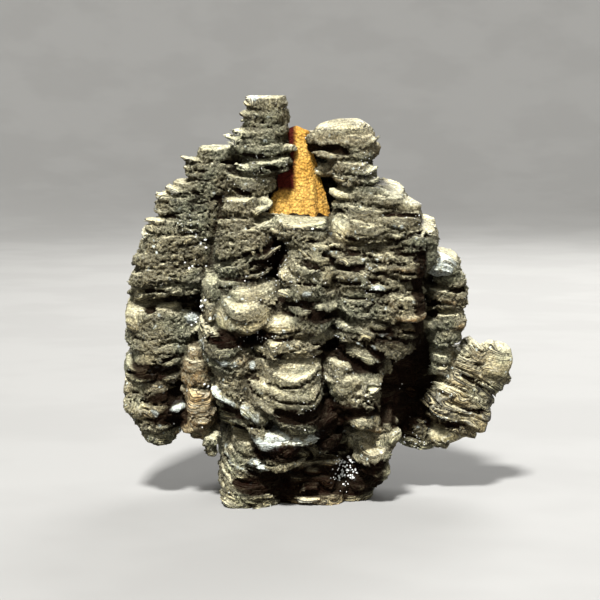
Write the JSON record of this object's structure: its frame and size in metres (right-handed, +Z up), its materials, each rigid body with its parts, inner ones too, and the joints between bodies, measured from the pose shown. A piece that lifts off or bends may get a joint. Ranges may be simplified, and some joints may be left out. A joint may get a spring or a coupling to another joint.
{
  "type": "layered calcite specimen with quartz",
  "caption": "Mineral specimen: a mass of thin stacked calcite plates around a steep ochre crystal seen in a window, standing on a flat cut base.",
  "frame": {"origin": "middle of the flat cut base, on the surface that the specimen stands on", "axes": "+Z up, +X to the right seen from the window side, +Y to the back"},
  "size_m": [0.098, 0.056, 0.0996],
  "materials": {
    "layered_calcite": "olive-brown layered plates with sandy faces, silvery glints and dark crevices",
    "ochre_crystal": "golden, matt, fine granular crystal faces"
  },
  "bodies": {
    "root": {"layered_calcite": "layered_calcite", "ochre_crystal": "ochre_crystal"}
  },
  "joints": []
}
